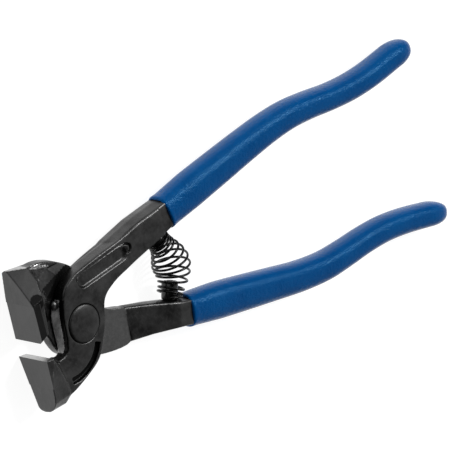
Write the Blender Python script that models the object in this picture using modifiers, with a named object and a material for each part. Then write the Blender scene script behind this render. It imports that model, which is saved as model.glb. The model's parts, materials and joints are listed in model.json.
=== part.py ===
"""Tile nippers: two forged half-lap levers on one rivet, carbide jaw tips, dipped grips and a return spring.

Local frame, in millimetres until a mesh is made: the pivot axis is +Z through X = Y = 0, the jaws point
to -X, the handles to +X, the upper handle lies on the +Y side, and Z = 0 is the middle of the jaws' width.
The front lever carries the upper handle and the lower jaw, the rear lever the lower handle and the upper jaw.
"""
from math import atan2, comb, cos, pi, radians, sin

import bmesh
import bpy
from mathutils import Matrix, Vector

MM = 0.001

# Driving dimensions
JAW_HALF_WIDTH = 7.94        # 5/8 in. cutting edges, measured along the pivot axis
JAW_FACE_X = -22.9           # ground front face of both jaws
LOWER_EDGE_Y = -5.15         # cutting edges with the jaws open
UPPER_EDGE_Y = 2.75
LEVER_FACE_Z = 5.0           # front face of the front lever, and the mirror of it at the back
LAP_GAP = 0.15               # each lever stops this far from the middle plane at the lap
GRIP_MOUTH_X = 50.0
GAP = 0.3                    # between pieces that touch

# The pivot's place in the part's own frame, whose origin is the middle of the footprint, on the ground
PIVOT_FROM_MIDDLE = (-78.37, -1.69)
GROUND_TO_MIDDLE = 7.94

# Pivot rivet
SHANK_RADIUS = 3.5
FRONT_HEAD_RADIUS = 6.9
REAR_HEAD_RADIUS = 5.6
HEAD_PROUD = 0.8
RECESS_RADIUS = 8.0
RECESS_DEPTH = 1.0

# Carbide tips
TIP_THICKNESS = 3.3
LOWER_TIP_LENGTH = 11.0
UPPER_TIP_LENGTH = 13.9

# Return spring: a right-handed barrel coil. A pair gives the value at the lower seat, then at the upper one.
WIRE_RADIUS = 0.42
SEAT_COIL_RADIUS = (4.58, 4.2)
MIDDLE_COIL_RADIUS = 7.0
END_TURNS = (2.16, 3.5)      # close-wound turns
END_PITCH = (1.47, 1.2)
OPEN_TURNS = 7.13
OPEN_SKEW = 0.17             # how much wider than the mean the open pitch starts
FIRST_ANGLE = 4.09
POINTS_PER_TURN = 12
SEAT_LIFT = (1.3, 1.12)      # centre of the first and the last turn above its seat
STRAIGHT = (2.5, 1.46)       # the centre line's second control points above the first
REACH = 8.0
BOW = (4.85, 3.26)           # how far the middle control points stand out from the seats

# Spring pegs
PEG_RADIUS = 3.1
STEM_RADIUS = 1.5
STEM_LENGTH = 3.0
LOWER_PEG_HEIGHT = 7.0
UPPER_PEG_HEIGHT = 3.6
LOWER_SEAT = (44.45, -10.37)
LOWER_SEAT_ANGLE = -18.5     # slope of the lower handle's top edge, in degrees
UPPER_SEAT = (45.05, 15.05)
UPPER_SEAT_ANGLE = 10.7

# In-plane outlines. A point marked True is a sharp corner, the others lie on a smooth curve.
FRONT_PLATE = [
    (-15.3, -23.4, True), (-15.3, -8.9, True), (-11.3, -6.4, False), (-10.6, -1.7, False),
    (-10.4, 4.6, False), (-9.4, 8.9, False), (-6.6, 13.4, False), (-2.4, 17.7, True),
    (5.0, 20.3, False), (13.0, 21.5, False), (24.0, 23.0, False), (38.5, 25.7, False),
    (46.0, 27.2, True), (46.0, 15.3, True), (35.2, 13.2, False), (26.9, 11.1, False),
    (16.7, 7.8, False), (12.7, 4.9, False), (11.1, 1.2, False), (10.2, -3.0, False),
    (8.2, -7.8, False), (4.7, -14.2, False), (2.2, -16.6, False), (-1.7, -18.8, False),
    (-6.6, -21.0, False), (-12.0, -22.9, False),
]
FRONT_ROOT = [
    (6.0, 17.9, True), (10.4, 9.6, True), (12.2, 5.4, False), (16.7, 8.1, False),
    (26.9, 11.5, True), (27.4, 22.9, True), (13.0, 19.6, False),
]
REAR_PLATE = [
    (-15.6, 27.6, True), (-11.1, 27.9, False), (-5.0, 26.3, False), (-0.5, 23.8, False),
    (3.0, 21.4, False), (5.2, 19.2, True), (8.2, 13.6, False), (10.0, 9.0, False),
    (11.4, 4.6, False), (13.2, 0.6, False), (16.3, -1.9, False), (23.9, -4.2, False),
    (30.0, -5.8, True), (27.0, -19.1, True), (21.2, -18.5, False), (8.4, -16.9, False),
    (2.0, -14.6, False), (-4.4, -12.4, False), (-9.4, -9.2, False), (-12.0, -5.0, False),
    (-13.6, -0.6, False), (-15.6, 2.4, True),
]

# Corners of the jaws' wedge-shaped blocks: (x, y, z)
LOWER_JAW = [
    (-22.9, -5.15, 7.94), (-22.9, -5.15, -7.94), (-19.6, -5.5, 7.94), (-19.6, -5.5, -7.94),
    (-22.9, -20.0, 7.6), (-22.9, -23.2, 6.4), (-22.9, -25.4, 4.0), (-22.9, -25.4, -3.5),
    (-22.7, -26.4, 2.4), (-22.7, -26.4, -2.4), (-15.4, -25.2, 4.4), (-15.4, -25.2, -4.2),
    (-14.0, -9.8, 5.4), (-12.9, -9.8, -5.0), (-13.2, -18.0, 5.4), (-12.9, -22.5, 5.0), (-12.4, -22.6, -4.6),
]
UPPER_JAW = [
    (-22.9, 2.75, 7.94), (-22.9, 2.75, -7.94), (-18.9, 4.6, 7.94), (-18.9, 4.6, -7.94),
    (-22.9, 17.0, -7.94), (-22.9, 14.3, 7.7), (-22.9, 17.6, 7.1), (-22.9, 22.2, 3.6), (-22.9, 26.9, -0.8),
    (-22.9, 28.5, -6.6), (-22.8, 30.0, -4.4), (-17.8, 16.0, 7.5), (-15.6, 23.3, 4.0),
    (-15.7, 28.4, -0.2), (-17.0, 17.0, -7.6), (-15.7, 27.0, -6.4), (-12.8, 27.8, -0.4),
    (-12.8, 27.8, -4.9), (-13.9, 1.6, -0.4), (-13.9, 1.6, -4.9),
]

# Handle stations: (x, y, half width, middle z, half thickness). The first ones lie inside the lap plates.
UPPER_HANDLE = [
    (15.0, 13.9, 5.6, -0.1, 4.5), (24.0, 16.8, 6.3, 0.0, 4.7), (36.0, 19.7, 6.3, 0.0, 4.7),
    (47.0, 21.6, 5.9, 0.0, 4.55), (54.7, 23.1, 5.4, 0.0, 4.3), (67.4, 25.6, 5.3, 0.0, 4.25),
    (80.1, 27.9, 5.0, 0.0, 4.2), (92.8, 30.2, 4.6, 0.0, 4.15), (105.5, 32.2, 4.2, 0.0, 4.1),
    (116.5, 33.1, 3.9, 0.0, 4.0), (127.0, 32.6, 3.6, 0.0, 3.9), (138.0, 31.4, 3.4, 0.0, 3.8),
    (148.5, 31.0, 3.35, 0.0, 3.75), (159.0, 31.8, 3.3, 0.0, 3.75), (170.5, 33.8, 3.25, 0.0, 3.7),
]
LOWER_HANDLE = [
    (19.5, -10.8, 6.9, -2.6, 2.2), (24.0, -11.5, 7.2, -2.5, 2.3), (33.5, -13.3, 6.25, -1.2, 3.4),
    (43.5, -15.7, 5.4, 0.0, 4.45), (49.5, -17.1, 5.2, 0.0, 4.45), (56.0, -18.0, 5.3, 0.0, 4.3),
    (67.4, -20.1, 5.3, 0.0, 4.25), (80.1, -22.5, 5.0, 0.0, 4.2), (92.8, -24.9, 4.6, 0.0, 4.15),
    (105.5, -27.2, 4.2, 0.0, 4.1), (117.5, -28.3, 3.9, 0.0, 4.0), (128.0, -27.8, 3.6, 0.0, 3.9),
    (138.0, -26.9, 3.4, 0.0, 3.8), (148.5, -26.7, 3.3, 0.0, 3.75), (159.0, -27.9, 3.2, 0.0, 3.7),
    (170.0, -30.1, 3.05, 0.0, 3.6),
]
UPPER_GRIP_TIP = (179.8, 34.8)
LOWER_GRIP_TIP = (178.7, -32.3)
GRIP_WALL = 1.35             # outer skin to the bore, at the middle of the sleeve
GRIP_MOUTH_WALL = 0.9

MATERIALS = {
    "black_steel": ((0.035, 0.035, 0.036), 0.42, 0.85),
    "rivet_steel": ((0.028, 0.028, 0.029), 0.5, 0.85),
    "carbide": ((0.09, 0.09, 0.092), 0.38, 0.9),
    "blue_vinyl": ((0.003, 0.06, 0.23), 0.42, 0.0),
    "spring_steel": ((0.012, 0.012, 0.013), 0.32, 0.8),
}


def clear_scene():
    for obj in list(bpy.data.objects):
        bpy.data.objects.remove(obj, do_unlink=True)


def make_collection(name):
    collection = bpy.data.collections.new(name)
    bpy.context.scene.collection.children.link(collection)
    return collection


def make_material(name):
    colour, roughness, metallic = MATERIALS[name]
    material = bpy.data.materials.new(name)
    material.use_nodes = True
    shader = material.node_tree.nodes["Principled BSDF"]
    shader.inputs["Base Color"].default_value = (*colour, 1.0)
    shader.inputs["Roughness"].default_value = roughness
    shader.inputs["Metallic"].default_value = metallic
    return material


def add_object(name, mesh, collection, parent=None, material=None):
    obj = bpy.data.objects.new(name, mesh)
    collection.objects.link(obj)
    obj.parent = parent
    if material:
        mesh.materials.append(material)
    return obj


def as_cutter(obj):
    obj.hide_render = True
    obj.display_type = "WIRE"
    return obj


def add_boolean(target, tool, operation):
    modifier = target.modifiers.new(operation.lower() + "_" + tool.name, "BOOLEAN")
    modifier.operation = operation
    modifier.object = tool
    modifier.solver = "EXACT"


def shade(mesh):
    mesh.shade_smooth()
    mesh.set_sharp_from_angle(angle=radians(35))


def outline_mesh(name, points, z_low, z_high, edge=0.5, resolution=4):
    """A flat outline through the points, extruded from z_low to z_high with a small chamfer on its edges."""
    curve = bpy.data.curves.new(name, "CURVE")
    curve.dimensions = "2D"
    curve.fill_mode = "BOTH"
    curve.extrude = ((z_high - z_low) / 2 - edge) * MM
    curve.bevel_depth = edge * MM
    curve.bevel_resolution = 0
    curve.offset = -edge * MM
    curve.resolution_u = resolution
    spline = curve.splines.new("BEZIER")
    spline.bezier_points.add(len(points) - 1)
    spline.use_cyclic_u = True
    for knot, (x, y, sharp) in zip(spline.bezier_points, points):
        knot.co = (x * MM, y * MM, 0.0)
        knot.handle_left_type = "VECTOR" if sharp else "AUTO"
        knot.handle_right_type = "VECTOR" if sharp else "AUTO"
    source = bpy.data.objects.new(name + "_curve", curve)
    bpy.context.scene.collection.objects.link(source)
    depsgraph = bpy.context.evaluated_depsgraph_get()
    mesh = bpy.data.meshes.new_from_object(source.evaluated_get(depsgraph))
    bpy.data.objects.remove(source, do_unlink=True)
    mesh.name = name
    mesh.transform(Matrix.Translation((0.0, 0.0, (z_low + z_high) / 2 * MM)))
    weld(mesh)
    return mesh


def weld(mesh):
    work = bmesh.new()
    work.from_mesh(mesh)
    bmesh.ops.remove_doubles(work, verts=work.verts, dist=0.00001)
    bmesh.ops.recalc_face_normals(work, faces=work.faces)
    work.to_mesh(mesh)
    work.free()


def hull_mesh(name, corners):
    """The wedge-shaped block that wraps the given corners."""
    work = bmesh.new()
    for corner in corners:
        work.verts.new(Vector(corner) * MM)
    result = bmesh.ops.convex_hull(work, input=work.verts)
    loose = [v for v in result["geom_interior"] + result["geom_unused"] if isinstance(v, bmesh.types.BMVert)]
    bmesh.ops.delete(work, geom=loose, context="VERTS")
    bmesh.ops.recalc_face_normals(work, faces=work.faces)
    mesh = bpy.data.meshes.new(name)
    work.to_mesh(mesh)
    work.free()
    return mesh


def box_mesh(name, low, high):
    work = bmesh.new()
    bmesh.ops.create_cube(work, size=1.0)
    size = [(b - a) * MM for a, b in zip(low, high)]
    middle = [(a + b) / 2 * MM for a, b in zip(low, high)]
    bmesh.ops.scale(work, vec=size, verts=work.verts)
    bmesh.ops.translate(work, vec=middle, verts=work.verts)
    mesh = bpy.data.meshes.new(name)
    work.to_mesh(mesh)
    work.free()
    return mesh


def cylinder_mesh(name, radius, z_low, z_high, segments=40):
    work = bmesh.new()
    bmesh.ops.create_cone(
        work, cap_ends=True, segments=segments, radius1=radius * MM, radius2=radius * MM,
        depth=(z_high - z_low) * MM)
    bmesh.ops.translate(work, vec=(0.0, 0.0, (z_low + z_high) / 2 * MM), verts=work.verts)
    mesh = bpy.data.meshes.new(name)
    work.to_mesh(mesh)
    work.free()
    return mesh


def turned_object(name, profile, collection, parent, material, steps=40):
    """A turned piece: a (radius, z) profile, listed from the top down its outer side, swept by Screw."""
    mesh = bpy.data.meshes.new(name)
    points = [(r * MM, 0.0, z * MM) for r, z in profile]
    edges = [(i, i + 1) for i in range(len(points) - 1)]
    mesh.from_pydata(points, edges, [])
    obj = add_object(name, mesh, collection, parent, material)
    screw = obj.modifiers.new("turn", "SCREW")
    screw.steps = steps
    screw.render_steps = steps
    screw.use_merge_vertices = True
    screw.merge_threshold = 0.00001
    return obj


def section_ring(station, direction, exponent, count):
    """One rounded-rectangle (superellipse) section of a handle, square to its centre line."""
    x, y, half_width, middle_z, half_thickness = station
    side = Vector((-direction.y, direction.x, 0.0))
    ring = []
    for i in range(count):
        angle = 2 * pi * i / count
        c, s = cos(angle), sin(angle)
        across = half_width * abs(c) ** (2 / exponent) * (1 if c >= 0 else -1)
        up = half_thickness * abs(s) ** (2 / exponent) * (1 if s >= 0 else -1)
        ring.append(Vector((x, y, middle_z + up)) + side * across)
    return ring


def centre_directions(stations):
    directions = []
    for i in range(len(stations)):
        before = stations[max(i - 1, 0)]
        after = stations[min(i + 1, len(stations) - 1)]
        directions.append(Vector((after[0] - before[0], after[1] - before[1], 0.0)).normalized())
    return directions


def loft_mesh(name, rings):
    """A closed skin through rings of equal length, with a flat cap on the first and the last ring."""
    work = bmesh.new()
    rows = [[work.verts.new(point * MM) for point in ring] for ring in rings]
    count = len(rows[0])
    for lower, upper in zip(rows, rows[1:]):
        for i in range(count):
            j = (i + 1) % count
            work.faces.new((lower[i], lower[j], upper[j], upper[i]))
    work.faces.new(list(reversed(rows[0])))
    work.faces.new(rows[-1])
    bmesh.ops.recalc_face_normals(work, faces=work.faces)
    mesh = bpy.data.meshes.new(name)
    work.to_mesh(mesh)
    work.free()
    return mesh


def handle_mesh(name, stations, exponent=6.0, count=20):
    directions = centre_directions(stations)
    return loft_mesh(name, [section_ring(s, d, exponent, count) for s, d in zip(stations, directions)])


def grown(station, amount):
    x, y, half_width, middle_z, half_thickness = station
    return (x, y, half_width + amount, middle_z, half_thickness + amount)


def between(a, b, t):
    return tuple(p + (q - p) * t for p, q in zip(a, b))


def station_at(stations, x):
    for a, b in zip(stations, stations[1:]):
        if a[0] <= x <= b[0]:
            return between(a, b, (x - a[0]) / (b[0] - a[0]))
    return stations[-1]


def grip_mesh(name, handle, tip_point, exponent=3.6, count=20):
    """A dipped sleeve: an outer skin from the mouth to a rounded tip, then a bore back to the mouth."""
    mouth = station_at(handle, GRIP_MOUTH_X)
    inside = [mouth] + [s for s in handle if s[0] > GRIP_MOUTH_X + 2.0]
    last = inside[-1]
    tip = (*tip_point, 0.0, 0.0, 0.0)
    outer = [grown(mouth, GAP + GRIP_MOUTH_WALL)]
    outer += [grown(s, GAP + GRIP_WALL) for s in inside[1:]]
    for share, size in ((0.35, 0.98), (0.65, 0.88), (0.84, 0.69), (0.96, 0.40)):
        x, y, _, _, _ = between(last, tip, share)
        outer.append((x, y, (last[2] + GAP + GRIP_WALL) * size, 0.0, (last[4] + GAP + GRIP_WALL) * size))
    x, y, _, _, _ = between(last, tip, 0.12)
    bore = [(x, y, last[2] + GAP, 0.0, last[4] + GAP)] + [grown(s, GAP) for s in reversed(inside)]
    rings = [section_ring(s, d, exponent, count) for s, d in zip(outer, centre_directions(outer))]
    bore_directions = [-d for d in centre_directions(bore)]
    rings.reverse()
    back = [section_ring(s, d, 6.0, count) for s, d in zip(bore, bore_directions)]
    back.reverse()
    return loft_mesh(name, rings + back)


def seat_frame(seat, angle, facing):
    """Where a spring seat lies, and the direction square to the handle's edge that the peg stands in."""
    slope = radians(angle)
    return Vector((*seat, 0.0)), Vector((-sin(slope), cos(slope), 0.0)) * facing


def spring_axis():
    """The spring's centre line: square to each seat at its ends, bowed away from the pivot between them."""
    low, low_normal = seat_frame(LOWER_SEAT, LOWER_SEAT_ANGLE, 1)
    high, high_normal = seat_frame(UPPER_SEAT, UPPER_SEAT_ANGLE, -1)
    start = low + low_normal * SEAT_LIFT[0]
    end = high + high_normal * SEAT_LIFT[1]
    knots = (
        start, start + low_normal * STRAIGHT[0], start + low_normal * REACH + Vector((BOW[0], 0.0, 0.0)),
        end + high_normal * REACH + Vector((BOW[1], 0.0, 0.0)), end + high_normal * STRAIGHT[1], end)

    def blend(points, t):
        degree = len(points) - 1
        total = Vector((0.0, 0.0, 0.0))
        for i, knot in enumerate(points):
            total += knot * (comb(degree, i) * t ** i * (1.0 - t) ** (degree - i))
        return total

    def point(t):
        return blend(knots, t)

    def tangent(t):
        return blend([b - a for a, b in zip(knots, knots[1:])], t).normalized()

    return point, tangent


def spring_points():
    """A barrel coil along the bowed axis, with close-wound end turns."""
    point, tangent = spring_axis()
    samples = 200
    lengths = [0.0]
    for i in range(samples):
        lengths.append(lengths[-1] + (point((i + 1) / samples) - point(i / samples)).length)
    total = lengths[-1]
    turns = sum(END_TURNS) + OPEN_TURNS
    open_travel = total - END_TURNS[0] * END_PITCH[0] - END_TURNS[1] * END_PITCH[1]
    steps = int(turns * POINTS_PER_TURN)
    points = []
    for i in range(steps + 1):
        turn = i / POINTS_PER_TURN
        opened = min(max((turn - END_TURNS[0]) / OPEN_TURNS, 0.0), 1.0)
        travel = END_PITCH[0] * min(turn, END_TURNS[0])
        travel += open_travel * (opened + OPEN_SKEW * opened * (1.0 - opened))
        travel += END_PITCH[1] * max(turn - END_TURNS[0] - OPEN_TURNS, 0.0)
        share = min(travel / total, 1.0)
        j = min(sum(1 for length in lengths if length < travel), samples)
        t = j / samples
        if j:
            t = (j - 1 + (travel - lengths[j - 1]) / (lengths[j] - lengths[j - 1])) / samples
        bulge = sin(pi * min(max((share - 0.06) / 0.88, 0.0), 1.0)) ** 2
        seat_radius = SEAT_COIL_RADIUS[0] if share < 0.5 else SEAT_COIL_RADIUS[1]
        radius = seat_radius + (MIDDLE_COIL_RADIUS - seat_radius) * bulge
        along = tangent(t)
        side = Vector((along.y, -along.x, 0.0))
        angle = FIRST_ANGLE + 2 * pi * turn
        points.append(point(t) + side * (radius * cos(angle)) - Vector((0.0, 0.0, radius * sin(angle))))
    return points


def wire_mesh(name, points, radius):
    """A round wire along the points, made as a curve and welded into one closed mesh."""
    curve = bpy.data.curves.new(name, "CURVE")
    curve.dimensions = "3D"
    curve.bevel_depth = radius * MM
    curve.bevel_resolution = 2
    curve.use_fill_caps = True
    spline = curve.splines.new("POLY")
    spline.points.add(len(points) - 1)
    for knot, point in zip(spline.points, points):
        knot.co = (*(point * MM), 1.0)
    source = bpy.data.objects.new(name + "_curve", curve)
    bpy.context.scene.collection.objects.link(source)
    depsgraph = bpy.context.evaluated_depsgraph_get()
    mesh = bpy.data.meshes.new_from_object(source.evaluated_get(depsgraph))
    bpy.data.objects.remove(source, do_unlink=True)
    mesh.name = name
    weld(mesh)
    return mesh


def stadium_points(start, end, radius, steps=8):
    """The outline of a round-ended slot between two centres."""
    heading = atan2(end[1] - start[1], end[0] - start[0])
    points = []
    for centre, first in ((end, heading - pi / 2), (start, heading + pi / 2)):
        for i in range(steps + 1):
            angle = first + pi * i / steps
            points.append((centre[0] + radius * cos(angle), centre[1] + radius * sin(angle), False))
    return points


def build():
    clear_scene()
    parts = make_collection("tile_nippers")
    cutters = make_collection("cutters")
    materials = {name: make_material(name) for name in MATERIALS}

    pivot = (PIVOT_FROM_MIDDLE[0] * MM, PIVOT_FROM_MIDDLE[1] * MM, GROUND_TO_MIDDLE * MM)
    frames = {}
    for name in ("front_lever_frame", "rear_lever_frame"):
        frame = bpy.data.objects.new(name, None)
        frame.location = pivot
        frame.empty_display_size = 0.01
        parts.objects.link(frame)
        frames[name] = frame
    front = frames["front_lever_frame"]
    rear = frames["rear_lever_frame"]

    def tool(name, mesh, frame):
        return as_cutter(add_object(name, mesh, cutters, frame))

    # Blocks and cutters that the levers share
    lower_block = hull_mesh("lower_jaw_block", LOWER_JAW)
    upper_block = hull_mesh("upper_jaw_block", UPPER_JAW)
    reach = JAW_HALF_WIDTH + 2.0
    tip_back = JAW_FACE_X + TIP_THICKNESS
    lower_tip_end = LOWER_EDGE_Y - LOWER_TIP_LENGTH
    upper_tip_end = UPPER_EDGE_Y + UPPER_TIP_LENGTH
    rivet_hole = cylinder_mesh("rivet_hole_mesh", SHANK_RADIUS + GAP, -9.0, 9.0)

    def seat_matrix(seat, angle, facing):
        place, normal = seat_frame(seat, angle, facing)
        turn = normal.to_track_quat("Z", "Y").to_matrix().to_4x4()
        return Matrix.Translation(place * MM) @ turn

    lower_seat = seat_matrix(LOWER_SEAT, LOWER_SEAT_ANGLE, 1)
    upper_seat = seat_matrix(UPPER_SEAT, UPPER_SEAT_ANGLE, -1)
    peg_hole = cylinder_mesh("peg_hole_mesh", STEM_RADIUS + GAP, -STEM_LENGTH - GAP, 3.0, 20)

    # Front lever: half-lap plate, full-thickness handle and the lower jaw
    lever = add_object(
        "front_lever", outline_mesh("front_lever", FRONT_PLATE, LAP_GAP, LEVER_FACE_Z), parts, front,
        materials["black_steel"])
    root = tool("front_root", outline_mesh("front_root", FRONT_ROOT, -4.7, 1.5), front)
    handle = tool("front_handle", handle_mesh("front_handle", UPPER_HANDLE), front)
    block = tool("front_jaw_block", lower_block, front)
    pocket = tool("lower_tip_pocket", box_mesh(
        "lower_tip_pocket", (JAW_FACE_X - 2.0, lower_tip_end - GAP, -reach),
        (tip_back + GAP, LOWER_EDGE_Y + 2.0, reach)), front)
    recess = tool("front_head_recess", cylinder_mesh(
        "front_head_recess", RECESS_RADIUS, LEVER_FACE_Z - RECESS_DEPTH, 9.0, 48), front)
    hole = tool("front_rivet_hole", rivet_hole, front)
    channel = tool("handle_channel", outline_mesh(
        "handle_channel", stadium_points((4.0, 14.6), (25.0, 16.9), 2.9), LEVER_FACE_Z - 0.5, 7.0,
        edge=0.2, resolution=1), front)
    seat_hole = tool("upper_peg_hole", peg_hole, front)
    seat_hole.matrix_local = upper_seat
    for piece in (root, handle, block):
        add_boolean(lever, piece, "UNION")
    for piece in (pocket, recess, hole, channel, seat_hole):
        add_boolean(lever, piece, "DIFFERENCE")

    # Rear lever: half-lap plate, handle that thickens towards the grip, and the upper jaw
    lever = add_object(
        "rear_lever", outline_mesh("rear_lever", REAR_PLATE, -LEVER_FACE_Z, -LAP_GAP), parts, rear,
        materials["black_steel"])
    handle = tool("rear_handle", handle_mesh("rear_handle", LOWER_HANDLE), rear)
    block = tool("rear_jaw_block", upper_block, rear)
    pocket = tool("upper_tip_pocket", box_mesh(
        "upper_tip_pocket", (JAW_FACE_X - 2.0, UPPER_EDGE_Y - 2.0, -reach),
        (tip_back + GAP, upper_tip_end + GAP, reach)), rear)
    recess = tool("rear_head_recess", cylinder_mesh(
        "rear_head_recess", REAR_HEAD_RADIUS + 0.8, -9.0, -LEVER_FACE_Z + RECESS_DEPTH, 48), rear)
    hole = tool("rear_rivet_hole", rivet_hole.copy(), rear)
    seat_hole = tool("lower_peg_hole", peg_hole.copy(), rear)
    seat_hole.matrix_local = lower_seat
    for piece in (handle, block):
        add_boolean(lever, piece, "UNION")
    for piece in (pocket, recess, hole, seat_hole):
        add_boolean(lever, piece, "DIFFERENCE")

    # Carbide tips fill the pockets and share the jaws' ground faces
    for name, block_mesh, frame, low_y, high_y in (
            ("lower_jaw_tip", lower_block, front, lower_tip_end, LOWER_EDGE_Y + 2.0),
            ("upper_jaw_tip", upper_block, rear, UPPER_EDGE_Y - 2.0, upper_tip_end)):
        tip = add_object(name, block_mesh.copy(), parts, frame, materials["carbide"])
        limits = tool(name + "_limits", box_mesh(
            name + "_limits", (JAW_FACE_X - 2.0, low_y, -reach), (tip_back, high_y, reach)), frame)
        add_boolean(tip, limits, "INTERSECT")

    # Rivet: flat front head, shank through both levers, smaller rear head
    seat = LEVER_FACE_Z - RECESS_DEPTH + GAP
    top = LEVER_FACE_Z + HEAD_PROUD
    turned_object("pivot_rivet", [
        (0.0, top), (FRONT_HEAD_RADIUS - 0.6, top), (FRONT_HEAD_RADIUS, top - 0.5), (FRONT_HEAD_RADIUS, seat),
        (SHANK_RADIUS, seat), (SHANK_RADIUS, -seat), (REAR_HEAD_RADIUS, -seat),
        (REAR_HEAD_RADIUS, -top + 0.5), (REAR_HEAD_RADIUS - 0.6, -top), (0.0, -top),
    ], parts, front, materials["rivet_steel"])

    # Dipped grips
    for name, stations, tip_point, frame in (
            ("upper_grip", UPPER_HANDLE, UPPER_GRIP_TIP, front),
            ("lower_grip", LOWER_HANDLE, LOWER_GRIP_TIP, rear)):
        mesh = grip_mesh(name, stations, tip_point)
        shade(mesh)
        add_object(name, mesh, parts, frame, materials["blue_vinyl"])

    # Spring pegs: a stem pressed into the handle's edge and a post inside the end turns
    for name, height, place, frame in (
            ("upper_spring_peg", UPPER_PEG_HEIGHT, upper_seat, front),
            ("lower_spring_peg", LOWER_PEG_HEIGHT, lower_seat, rear)):
        peg = turned_object(name, [
            (0.0, height), (PEG_RADIUS - 0.8, height), (PEG_RADIUS, height - 0.8), (PEG_RADIUS, GAP),
            (STEM_RADIUS, GAP), (STEM_RADIUS, -STEM_LENGTH), (0.0, -STEM_LENGTH),
        ], parts, frame, materials["black_steel"], steps=24)
        peg.matrix_local = place

    spring = wire_mesh("return_spring", spring_points(), WIRE_RADIUS)
    shade(spring)
    add_object("return_spring", spring, parts, front, materials["spring_steel"])


build()
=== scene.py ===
"""The looks of the tile nippers: blackened forged levers, ground jaws, dipped vinyl grips, a wire spring.

Shapes are given in millimetres in the tool's own frame, which has the pivot axis as +Z through X = Y = 0,
the jaws towards -X and the handles towards +X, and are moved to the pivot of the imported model.
"""
import json
from math import atan2, comb, cos, pi, radians, sin

import bmesh
import bpy
import numpy as np
from mathutils import Matrix, Vector


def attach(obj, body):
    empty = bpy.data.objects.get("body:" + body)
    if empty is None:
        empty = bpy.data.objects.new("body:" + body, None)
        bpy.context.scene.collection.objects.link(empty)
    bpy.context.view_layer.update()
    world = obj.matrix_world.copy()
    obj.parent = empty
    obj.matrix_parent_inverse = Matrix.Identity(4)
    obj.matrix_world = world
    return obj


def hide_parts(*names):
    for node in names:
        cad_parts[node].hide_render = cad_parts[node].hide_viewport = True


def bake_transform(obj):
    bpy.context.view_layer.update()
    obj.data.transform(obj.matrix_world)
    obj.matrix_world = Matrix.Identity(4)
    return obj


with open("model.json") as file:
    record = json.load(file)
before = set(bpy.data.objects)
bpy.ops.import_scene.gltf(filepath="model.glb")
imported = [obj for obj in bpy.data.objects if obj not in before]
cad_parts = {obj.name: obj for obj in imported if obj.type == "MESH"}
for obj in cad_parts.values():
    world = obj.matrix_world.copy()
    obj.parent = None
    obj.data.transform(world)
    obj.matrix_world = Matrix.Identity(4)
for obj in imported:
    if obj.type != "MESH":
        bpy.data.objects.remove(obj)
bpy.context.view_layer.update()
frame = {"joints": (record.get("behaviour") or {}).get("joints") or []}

MM = 0.001
PIVOT = Vector(frame["joints"][0]["pos_m"])
TO_WORLD = Matrix.Translation(PIVOT) @ Matrix.Scale(MM, 4)

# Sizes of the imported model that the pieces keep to
JAW_FACE_X = -22.9
LOWER_EDGE_Y = -5.15
UPPER_EDGE_Y = 2.75
FACE_Z = 5.0
LAP_GAP = 0.15
TIP_THICKNESS = 3.3
TIP_GAP = 0.02
LOWER_TIP_LENGTH = 11.0
UPPER_TIP_LENGTH = 13.9
GRIP_MOUTH_X = 50.0
RECESS_RADIUS = 7.45
RECESS_DEPTH = 0.8
RIVET_PLACE = (0.2, -0.08, 0.0)
REAR_RECESS_RADIUS = 6.4
KNOB = (-8.9, 10.6, 1.5)     # a small boss at the top of the front lever's flange
KNOB_RADIUS = 1.7
GROOVE_ROUTE = [
    (4.2, -9.2, 0.0), (2.7, -12.1, 0.0), (0.2, -14.9, 0.0), (-3.2, -17.0, 0.0), (-7.2, -18.3, 0.0),
    (-11.2, -18.5, 0.0),
]
CHANNEL_EDGE_ROUTE = [
    (1.2, 15.8, 0.0), (2.6, 17.6, 0.0), (8.0, 18.6, 0.0), (16.0, 19.6, 0.0), (25.0, 20.6, 0.0),
    (28.4, 19.6, 0.0), (28.6, 17.6, 0.0), (27.0, 16.6, 0.0),
]
CHANNEL_END = (27.4, 18.6)   # the round end of the channel, painted dark as shade
NICK_SHADE = (-20.0, 17.7, 7.5)    # a spot at the shoulder of the upper jaw painted dark as the shade of a small nick
NOSE_NORMAL = (-0.1755, 0.6405, 0.7473)      # the way the upper jaw's slanted facet faces
TIP_SEAM_X = -19.9           # behind it the upper tip's side is steel coloured
LEVER_END_X = 58.0           # the finely meshed steel ends inside the grips, where a plain bar goes on
UPPER_GRIP_TIP = (179.55, 34.75)
LOWER_GRIP_TIP = (178.6, -32.3)
GRIP_GAP = 0.06
GRIP_WALL = 1.6

# Seats of the spring on the handles' inner edges: place, slope in degrees, side that the edge faces
LOWER_SEAT = (44.45, -10.37, -18.5, 1)
UPPER_SEAT = (45.05, 15.05, 10.7, -1)

FORGING_VOXEL = 0.34         # first remesh: its smoothing gives the forging its soft corners
FINISH_VOXEL = 0.27          # last remesh: leaves ground edges almost crisp
TIP_VOXEL = 0.18
ROUND_SEGMENTS = 96          # sides of a turned shape
BEYOND = 9.0                 # a height that is clear of the whole tool


# Numbers of the skins on a lever and on a carbide tip. On a lever the fifth paints shade, the sixth paints
# a pale reflection and the seventh is a darker copy of the ground skin that paints shade
FORGED, GROUND, MILLED, BRIGHT, PAINTED_SHADE, PALE_REFLECTION, SHADED_GROUND = range(7)
TIP_SIDE, TIP_FRONT, TIP_LAND, TIP_BACK = range(4)


# ---------------------------------------------------------------- mesh helpers

def new_object(name, mesh):
    obj = bpy.data.objects.new(name, mesh)
    bpy.context.scene.collection.objects.link(obj)
    return obj


def mesh_from(work, name):
    bmesh.ops.recalc_face_normals(work, faces=work.faces)
    mesh = bpy.data.meshes.new(name)
    work.to_mesh(mesh)
    work.free()
    return mesh


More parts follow.
